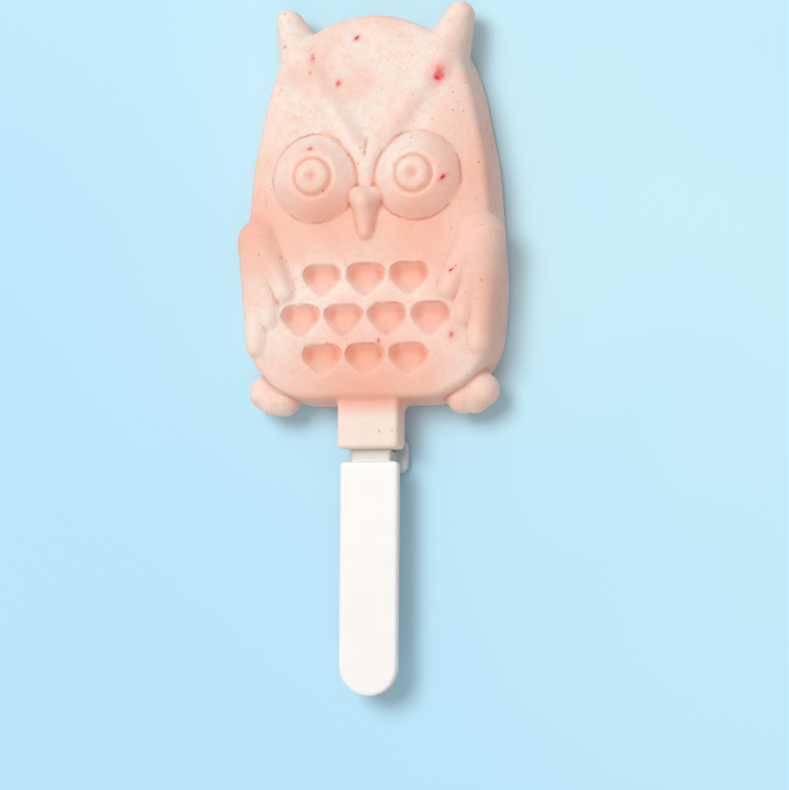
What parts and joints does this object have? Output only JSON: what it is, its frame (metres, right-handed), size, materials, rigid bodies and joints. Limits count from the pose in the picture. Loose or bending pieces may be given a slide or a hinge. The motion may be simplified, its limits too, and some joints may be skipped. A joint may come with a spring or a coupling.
{
  "type": "ice pop on a reusable stick",
  "caption": "Moulded frozen fruit-yoghurt pop with a rounded owl relief, frozen onto a flat reusable plastic stick with a guard tab; it lies on its flat back.",
  "frame": {"origin": "centre of the whole object's box in X and Y, at the level of the pop's flat back", "axes": "+X across the pop, to the right when its front is seen with its top up; +Y along the pop from the stick's end to the top of its head; +Z out of its front"},
  "size_m": [0.0656, 0.1646, 0.0195],
  "materials": {
    "frozen_yoghurt": "frozen fruit yoghurt, soft satin with fine grain, small pores and red fruit flecks",
    "white_plastic": "white moulded plastic, soft sheen"
  },
  "bodies": {
    "root": {"frozen_pop": "frozen_yoghurt", "stick": "white_plastic"}
  },
  "joints": []
}
